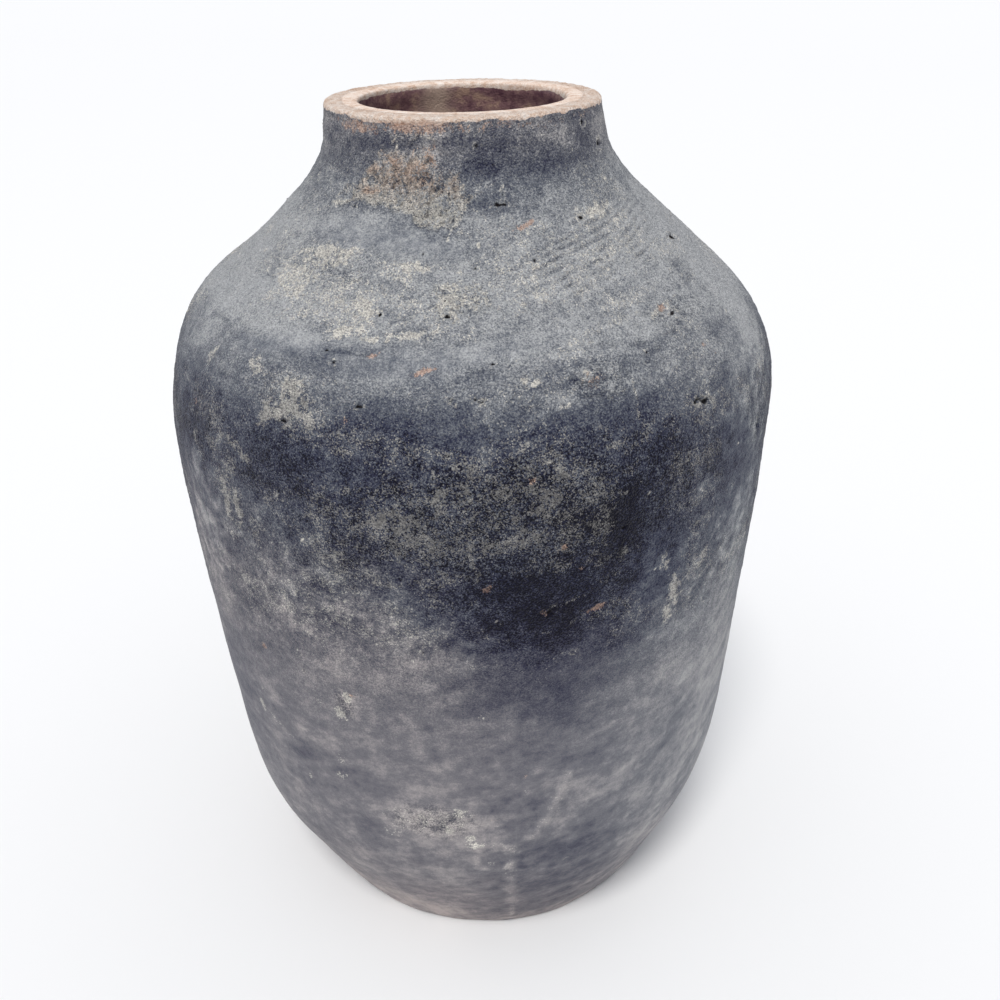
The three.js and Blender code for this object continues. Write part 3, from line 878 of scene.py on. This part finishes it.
def inside_wall(skin):
    """The inside: brown, stained clay with the ridges that fingers left, and a beige smear on the far wall,
    where slip ran down."""
    path = skin.path
    inner = step_between(path.inside_at(JAR_HEIGHT - 0.4), path.inside_at(JAR_HEIGHT - 3), skin.u)
    turned = np.degrees(skin.azimuth)[None, :] + 163
    smear = inner * hump(turned + 4 * Field(72)(skin.base, 12, 3), 0, 8)
    skin.mark(
        lift=0.5 * inner * Field(71)(skin.base, 99, 2, flat=9),
        dust=smear * step_between(335, 365, skin.z),
        red=0.2 * smear,
        warm=inner,
    )


# --- Pieces ------------------------------------------------------------------------------------------------

def lap_rows(skin, index):
    """The rows across the bevelled joint above a course, from the outside to the inside, ends included."""
    (_, outer_row), (inner_row, _) = skin.span_of(index)
    a, b = skin.points[outer_row], skin.points[inner_row]
    share = np.linspace(0, 1, LAP_ROWS + 2)[:, None, None]
    rows = a + (b - a) * share
    rows[..., 2] += 0.25 * np.sin(np.pi * share[..., 0]) * Field(700 + index)(rows, 6, 2)
    return rows


class Shell:
    """Collects a piece's rows of points. is_lap says of each row whether the quads from it to the next one
    are a lap, the bevelled face of a joint."""

    def __init__(self, skin):
        self.skin = skin
        self.points = []
        self.normals = []
        self.masks = {name: [] for name in skin.masks}
        self.is_lap = []

    def add_skin(self, first, last):
        """Rows of the jar's own surface."""
        rows = slice(first, last + 1)
        self.points.extend(self.skin.points[rows])
        self.normals.extend(self.skin.normals[rows])
        for name, values in self.masks.items():
            values.extend(self.skin.masks[name][rows])
        self.is_lap.extend([False] * (last - first) + [True])

    def add_lap(self, rows, from_row, to_row):
        """A lap's inner rows. Its end rows are the skin's and aren't repeated."""
        self.points.extend(rows[1:-1])
        self.normals.extend(np.zeros_like(rows[1:-1]))
        for name, values in self.masks.items():
            mask = self.skin.masks[name]
            for share in np.linspace(0, 1, len(rows))[1:-1]:
                values.append(mask[from_row] * (1 - share) + mask[to_row] * share)
        self.is_lap.extend([True] * (len(rows) - 2))


def make_piece(skin, index, laps):
    """One course of clay as a closed mesh."""
    spans = skin.span_of(index)
    shell = Shell(skin)
    shell.add_skin(*spans[0])
    if index < len(COURSES) - 1:
        shell.add_lap(laps[index], spans[0][1], spans[1][0])
        shell.add_skin(*spans[1])
    is_ring = index > 0
    if is_ring:
        shell.add_lap(laps[index - 1][::-1], spans[-1][1], spans[0][0])
    return mesh_of(COURSES[index] + "_clay", shell, is_ring)


def mesh_of(name, shell, is_ring):
    """The mesh of a shell: quads between its rows, with shading normals, a map for textures and the masks.
    The rows of a ring meet end to end. Any other shell starts and ends with a row on the axis."""
    rows = np.array(shell.points)
    is_lap = np.array(shell.is_lap if is_ring else shell.is_lap[:-1])
    grid = np.arange(len(rows) * COLUMNS).reshape(len(rows), COLUMNS)
    edges = np.stack([grid, np.roll(grid, -1, 1)], -1)
    quads = np.concatenate([edges, np.roll(edges, -1, 0)[..., ::-1]], -1)[: len(is_lap)]
    points = rows.reshape(-1, 3)
    normals = np.array(shell.normals).reshape(-1, 3)[quads]
    a, b, c, d = (points[quads[..., i]] for i in range(4))
    straight_out = np.cross(c - a, d - b)
    straight_out /= np.maximum(np.linalg.norm(straight_out, axis=-1, keepdims=True), 1e-12)
    normals[is_lap] = straight_out[is_lap][:, :, None, :]
    uvs = layout(is_lap, rows)
    masks = {mask: np.array(values, np.float32).ravel() for mask, values in shell.masks.items()}
    faces = quads.reshape(-1, 4)
    if not is_ring:
        # Each end row keeps one point, so each quad that meets the axis loses a corner there.
        spare = COLUMNS - 1
        kept = np.ones(quads.shape, bool)
        kept[0, :, 1] = kept[-1, :, 3] = False
        points[spare], points[-COLUMNS] = points[:COLUMNS].mean(0), points[-COLUMNS:].mean(0)
        points = points[spare:-spare]
        faces = np.clip(faces - spare, 0, len(points) - 1)
        faces = [face[corners].tolist() for face, corners in zip(faces, kept.reshape(-1, 4))]
        normals, uvs = normals[kept], uvs[kept]
        masks = {mask: values[spare:-spare] for mask, values in masks.items()}
    mesh = bpy.data.meshes.new(name)
    mesh.from_pydata(points * MM, [], faces)
    mesh.shade_smooth()
    mesh.uv_layers.new(name="OFBake").uv.foreach_set("vector", uvs.astype(np.float32).ravel())
    for mask, values in masks.items():
        mesh.attributes.new(mask, "FLOAT", "POINT").data.foreach_set("value", values)
    mesh.normals_split_custom_set(normals.reshape(-1, 3).tolist())
    return put_in_scene(name, mesh)


def layout(is_lap, rows):
    """UVs for every quad corner. The ring is cut into arcs, stacked in the map. The outside's rows get their
    real width, and the rows that nobody sees get less."""
    steps = np.linalg.norm(np.roll(rows, -1, 0) - rows, axis=-1).mean(1)[: len(is_lap)]
    radius = np.hypot(rows[..., 0], rows[..., 1]).mean(1)[: len(is_lap)]
    height = rows[: len(is_lap), :, 2].mean(1)
    # The rows that go down, below the neck and within the wall, are the inside's.
    goes_down = np.roll(height, -1) < height
    is_inside = goes_down & (radius < 130) & (height < 375)
    lap_weight, inside_weight = 0.3, 0.4
    weight = np.where(is_lap, lap_weight, np.where(is_inside, inside_weight, 1.0))
    tall = np.r_[0, np.cumsum(steps * weight)]
    gap, margin = 0.02, 0.01
    tall /= UV_ARCS * (1 + gap) * tall[-1]
    width = COLUMNS // UV_ARCS
    arc, column = np.divmod(np.arange(COLUMNS), width)
    low, high = (level[:, None] + arc / UV_ARCS for level in (tall[:-1], tall[1:]))
    left, right = (np.broadcast_to((column + side) / width, low.shape) for side in (0, 1))
    corners = [np.stack(corner, -1) for corner in ((left, low), (right, low), (right, high), (left, high))]
    return np.stack(corners, 2) * (1 - 2 * margin) + margin


def put_in_scene(name, data):
    """A new object with this data, in the scene."""
    made = bpy.data.objects.new(name, data)
    bpy.context.scene.collection.objects.link(made)
    return made


# --- Materials ---------------------------------------------------------------------------------------------

class Graph:
    """Short calls for building the nodes of a material or a world."""

    def __init__(self, owner):
        owner.use_nodes = True
        self.tree = owner.node_tree
        self.tree.nodes.clear()

    def node(self, kind, inputs=(), **settings):
        """A shader node. Its inputs are linked, or set to a value. Colours are given without their alpha."""
        made = self.tree.nodes.new("ShaderNode" + kind)
        for key, value in settings.items():
            setattr(made, key, value)
        for key, value in dict(inputs).items():
            socket = made.inputs[key]
            if isinstance(value, bpy.types.NodeSocket):
                self.tree.links.new(value, socket)
            else:
                socket.default_value = (*value, 1) if socket.type == "RGBA" else value
        return made

    def math(self, operation, a, b=0.0, clamp=False):
        return self.node("Math", {0: a, 1: b}, operation=operation, use_clamp=clamp).outputs[0]

    def add(self, *terms):
        total = terms[0]
        for term in terms[1:]:
            total = self.math("ADD", total, term)
        return total

    def times(self, a, b, clamp=False):
        return self.math("MULTIPLY", a, b, clamp)

    def between(self, value, low, high):
        """0 at low, 1 at high, smooth between."""
        inputs = {"Value": value, "From Min": low, "From Max": high}
        return self.node("MapRange", inputs, interpolation_type="SMOOTHSTEP").outputs[0]

    def centred(self, value, amount):
        """A noise value, 0 to 1, turned into plus or minus half of amount."""
        return self.times(self.math("SUBTRACT", value, 0.5), amount)

    def blend(self, share, a, b, how="MIX"):
        return self.node("Mix", {0: share, 6: a, 7: b}, data_type="RGBA", blend_type=how).outputs[2]

    def ramp(self, value, stops):
        made = self.node("ValToRGB", {0: value})
        elements = made.color_ramp.elements
        while len(elements) < len(stops):
            elements.new(0.5)
        for element, (place, colour) in zip(elements, stops):
            element.position = place
            element.color = (*colour, 1)
        return made.outputs[0]


class ClayGraph(Graph):
    """The nodes that the parts of the clay's look share: places in mm, the masks, and noise."""

    def __init__(self, owner):
        super().__init__(owner)
        place = self.node("TexCoord").outputs["Object"]
        self.place = self.scaled(place, (1 / MM, 1 / MM, 1 / MM))
        self.sideways, _, self.height = self.node("SeparateXYZ", {0: self.place}).outputs
        self.tone, self.dust, self.bare, self.red, self.rough, self.hole_shade, self.warm = (
            self.node("Attribute", attribute_name=name).outputs["Fac"] for name in Skin.MASKS
        )
        self.clouds = self.noise(20, 5, 0.62)
        self.mottle = self.noise(5, 4, 0.7)
        self.fray = self.noise(1.6, 3, 0.7)
        # Sand: every grain is a cell with a shade of its own.
        cells = self.node("TexVoronoi", {"Vector": self.place, "Scale": 1 / 0.45}).outputs["Color"]
        self.grain, self.sand, _ = self.node("SeparateColor", {0: cells}).outputs
        # Grit: rounded bumps for the bump map, also used in the colour as painted shade between them.
        self.grit = self.node("TexVoronoi", {"Vector": self.place, "Scale": 1 / 0.95}).outputs["Distance"]
        self.grainy = self.math("MINIMUM", self.rough, 1.3)

    def scaled(self, vector, scale):
        return self.node("VectorMath", {0: vector, 1: scale}, operation="MULTIPLY").outputs[0]

    def noise(self, size, detail=2.0, roughness=0.5, place=None):
        inputs = {"Vector": place or self.place, "Scale": 1 / size, "Detail": detail, "Roughness": roughness}
        return self.node("TexNoise", inputs).outputs["Fac"]


def smoked_colour(g):
    """Black through slate to pale grey, by how light the surface is, with grains that show most in soot."""
    streaks = g.noise(2.6, 4, 0.6, g.scaled(g.place, (0.12, 0.12, 1.0)))
    speckle = g.times(g.grainy, g.add(0.48, g.times(g.between(g.tone, 0.60, 0.0), 0.70)))
    # The grit term is painted shade: lighter on the grit's bumps and darker between them, where the bump map
    # has its hollows.
    level = g.add(
        g.math("MINIMUM", g.add(g.tone, g.centred(g.clouds, 0.28)), 1.04),
        g.centred(g.mottle, 0.30),
        g.centred(streaks, 0.16),
        g.times(g.centred(g.grain, 0.90), speckle),
        g.times(g.centred(g.grit, -0.40), speckle),
    )
    slate = g.ramp(g.times(g.add(level, 0.25), 0.64), [
        (0.00, (0.0045, 0.0045, 0.012)),
        (0.16, (0.0135, 0.014, 0.033)),
        (0.32, (0.033, 0.037, 0.070)),
        (0.48, (0.081, 0.090, 0.122)),
        (0.64, (0.178, 0.191, 0.216)),
        (0.80, (0.374, 0.381, 0.392)),
        (1.00, (0.60, 0.605, 0.615)),
    ])
    # Lower down the clay is less blue, most of all towards the left, and so is the neck.
    plum = g.blend(1.0, slate, (1.075, 0.97, 0.932), "MULTIPLY")
    low = g.between(g.add(g.height, g.centred(g.clouds, 120), g.times(g.sideways, 0.25)), 270, 190)
    leftward = g.add(0.35, g.times(g.between(g.sideways, 110, -10), 0.65))
    neck = g.times(g.between(g.height, 372, 392), 0.6)
    higher = g.blend(g.math("MAXIMUM", g.times(low, leftward), neck), slate, plum)
    foot = g.blend(1.0, higher, (1.05, 0.985, 0.96), "MULTIPLY")
    return g.blend(g.between(g.add(g.height, g.centred(g.clouds, 80)), 90, 20), higher, foot)


def dust_cover(g):
    """Where dust lies, and the painted highlights on the neck's crumbs, as separate grains. The mask is about
    the share of the surface that they cover.
    """
    clumps = g.add(
        0.22,
        g.times(g.between(g.mottle, 0.40, 0.60), 1.1),
        g.times(g.between(g.noise(1.9, 2, 0.6), 0.40, 0.60), 0.8),
    )
    return g.between(g.math("SUBTRACT", g.times(g.dust, clumps), g.sand), -0.04, 0.20)


def dust_colour(g):
    """Grey to cream, by how light the surface is, and peach where there is red clay in the dust. It also
    colours the painted highlights on the neck's crumbs.
    """
    powder = g.ramp(g.add(g.tone, g.centred(g.clouds, 0.4)), [
        (0.15, (0.240, 0.234, 0.230)),
        (0.60, (0.44, 0.428, 0.408)),
        (0.90, (0.72, 0.69, 0.64)),
    ])
    powder = g.blend(g.times(g.red, 3.2, clamp=True), powder, (0.66, 0.47, 0.37))
    shades = g.ramp(g.grain, [(0.0, (0.40, 0.40, 0.42)), (1.0, (1.25, 1.24, 1.20))])
    return g.blend(1.0, powder, shades, "MULTIPLY")


def inside_colour(g):
    """Stained brown clay, with its beige smear."""
    brown = g.ramp(g.noise(7, 5, 0.65), [
        (0.34, (0.150, 0.070, 0.092)),
        (0.50, (0.30, 0.170, 0.175)),
        (0.66, (0.54, 0.355, 0.27)),
    ])
    return g.blend(g.times(g.dust, g.add(0.5, g.mottle), clamp=True), brown, (0.62, 0.46, 0.37))


def chip_colour(g):
    """Red clay, paler where the surface round it is pale."""
    rust = g.ramp(g.grain, [(0.1, (0.13, 0.085, 0.078)), (0.9, (0.40, 0.28, 0.225))])
    pale_rust = g.ramp(g.grain, [(0.1, (0.33, 0.22, 0.18)), (0.9, (0.66, 0.50, 0.42))])
    return g.blend(g.between(g.tone, 0.35, 0.95), rust, pale_rust)


def bare_colour(g):
    """Pinkish cream clay that has lost its smoke."""
    clay = g.ramp(g.add(g.noise(3.5, 5, 0.68), g.centred(g.grain, 0.22), g.centred(g.clouds, 0.5)), [
        (0.15, (0.44, 0.25, 0.17)),
        (0.36, (0.68, 0.49, 0.375)),
        (0.58, (0.85, 0.715, 0.62)),
        (0.85, (0.93, 0.875, 0.82)),
    ])
    return g.blend(g.times(g.red, 1.2, clamp=True), clay, (0.56, 0.36, 0.27))


def clay_material(name):
    """Smoke-blackened clay. The masks on the mesh say where it is pale, dusty, bare or pitted, and the noise
    here breaks them up and adds the grain."""
    material = bpy.data.materials.new(name)
    g = ClayGraph(material)
    is_dusty = dust_cover(g)
    is_chip = g.between(g.add(g.red, g.centred(g.fray, 0.9), g.centred(g.sand, 0.5)), 0.40, 0.75)
    is_bare = g.between(g.add(g.bare, g.centred(g.fray, 0.35)), 0.4, 0.62)
    is_hole_shade = g.between(g.add(g.hole_shade, g.centred(g.noise(1.1, 3, 0.8), 0.9)), 0.45, 0.75)
    colour = g.blend(g.times(is_dusty, 0.92), smoked_colour(g), dust_colour(g))
    colour = g.blend(g.warm, colour, inside_colour(g))
    colour = g.blend(is_chip, colour, chip_colour(g))
    colour = g.blend(is_bare, colour, bare_colour(g))
    # Painted shade: the cores of the holes are near black.
    colour = g.blend(is_hole_shade, colour, (0.010, 0.008, 0.010))
    relief = g.add(
        g.times(g.noise(2.4, 4, 0.7), 0.90),
        g.noise(0.9, 2, 0.7),
        g.times(g.noise(0.5, 1, 0.5), 0.45),
        g.times(g.grit, -0.65),
        g.times(is_dusty, 0.05),
    )
    bump = g.node("Bump", {"Height": g.times(relief, g.grainy), "Strength": 1.0, "Distance": MM})
    shader = g.node("BsdfPrincipled", {
        "Base Color": colour,
        "Roughness": g.add(0.60, g.centred(g.clouds, 0.2), g.times(is_bare, 0.25), g.times(is_dusty, 0.2)),
        "Normal": bump.outputs[0],
        "IOR": 1.5,
        "Specular IOR Level": 0.12,
        "Sheen Weight": 0.09,
        "Sheen Roughness": 0.3,
    })
    g.node("OutputMaterial", {0: shader.outputs[0]})
    return material


def floor_material():
    """A plain pale floor with hardly any mottle."""
    material = bpy.data.materials.new("pale_floor")
    g = Graph(material)
    noise = g.node("TexNoise", {"Scale": 6.0, "Detail": 3.0}).outputs["Fac"]
    colour = g.ramp(noise, [(0.0, (0.86, 0.86, 0.86)), (1.0, (0.90, 0.90, 0.90))])
    shader = g.node("BsdfPrincipled", {"Base Color": colour, "Roughness": 0.8, "Specular IOR Level": 0.1})
    g.node("OutputMaterial", {0: shader.outputs[0]})
    return material


# --- The setting -------------------------------------------------------------------------------------------

# The key light: its strength, and its spread and direction in degrees.
KEY_STRENGTH = 1.8
KEY_SPREAD = 16
KEY_ELEVATION = 62
KEY_AZIMUTH = -14

# The colours of the sky that lights the jar, and of the backdrop behind it.
SKY_AT_HORIZON = (0.24, 0.25, 0.28)
SKY_OVERHEAD = (0.80, 0.82, 0.86)
BACKDROP = (0.95, 0.95, 0.95)

# The camera: its place in mm, its turns in degrees and its lens.
CAMERA_PLACE = (3.3, -452.3, 459.0)
CAMERA_PITCH, CAMERA_YAW, CAMERA_ROLL = 29.5, 1.1, -1.1
CAMERA_LENS = 36.0


def add_floor():
    """The floor that the jar stands on."""
    half = 30_000 * MM
    corners = [(-half, -half, 0), (half, -half, 0), (half, half, 0), (-half, half, 0)]
    mesh = bpy.data.meshes.new("floor")
    mesh.from_pydata(corners, [], [(0, 1, 2, 3)])
    mesh.materials.append(floor_material())
    floor = put_in_scene("floor", mesh)


def add_light():
    """Soft light from all round, a broad soft key light from above, and a plain pale backdrop."""
    world = bpy.data.worlds.new("studio")
    bpy.context.scene.world = world
    g = Graph(world)
    direction = g.node("TexCoord").outputs["Generated"]
    height = g.node("SeparateXYZ", {0: direction}).outputs["Z"]
    sky = g.blend(g.between(height, 0.0, 1.0), SKY_AT_HORIZON, SKY_OVERHEAD)
    lighting, seen = (g.node("Background", {"Color": colour}).outputs[0] for colour in (sky, BACKDROP))
    is_seen = g.node("LightPath").outputs["Is Camera Ray"]
    shader = g.node("MixShader", {0: is_seen, 1: lighting, 2: seen})
    g.node("OutputWorld", {0: shader.outputs[0]})
    lamp = bpy.data.lights.new("key", "SUN")
    lamp.energy = KEY_STRENGTH
    lamp.color = (1.0, 0.985, 0.96)
    lamp.angle = math.radians(KEY_SPREAD)
    key = put_in_scene("key", lamp)
    key.rotation_euler = (math.radians(90 - KEY_ELEVATION), 0, math.radians(KEY_AZIMUTH))


def add_camera():
    """A close camera that looks down on the shoulder, a little off the jar's axis."""
    place = Vector(CAMERA_PLACE) * MM
    pitch, yaw, roll = (math.radians(a) for a in (CAMERA_PITCH, CAMERA_YAW, CAMERA_ROLL))
    forward = Vector((math.sin(yaw) * math.cos(pitch), math.cos(yaw) * math.cos(pitch), -math.sin(pitch)))
    level = forward.cross(Vector((0, 0, 1))).normalized()
    upright = level.cross(forward)
    right = level * math.cos(roll) + upright * math.sin(roll)
    up = upright * math.cos(roll) - level * math.sin(roll)
    data = bpy.data.cameras.new("camera")
    data.lens = CAMERA_LENS
    data.sensor_width = 36.0
    data.clip_start = 0.01
    data.clip_end = 200.0
    camera = put_in_scene("camera", data)
    camera.matrix_world = Matrix((
        (right.x, up.x, -forward.x, place.x),
        (right.y, up.y, -forward.y, place.y),
        (right.z, up.z, -forward.z, place.z),
        (0, 0, 0, 1),
    ))
    bpy.context.scene.camera = camera


# --- Making the jar ----------------------------------------------------------------------------------------

def make_jar():
    """The skin with all its layers of relief and marks, cut into the ten courses."""
    skin = Skin(Path(CadJar(frame["nodes"])))
    for layer in (
        broad_relief, surface_tone, neck_crumbs, chatter, scored_lines, placed_marks, scattered_marks,
        worn_foot, bare_lip, inside_wall,
    ):
        layer(skin)
    skin.finish()
    laps = [lap_rows(skin, i) for i in range(len(COURSES) - 1)]
    smoked, bare = clay_material("smoked_clay"), clay_material("bare_clay")
    for i, name in enumerate(COURSES):
        piece = make_piece(skin, i, laps)
        is_lip = name == BARE_LIP
        piece.data.materials.append(bare if is_lip else smoked)
        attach(piece, "root")
        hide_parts(name)


add_camera()
add_light()
add_floor()
make_jar()
bpy.context.scene.view_settings.view_transform = "Standard"
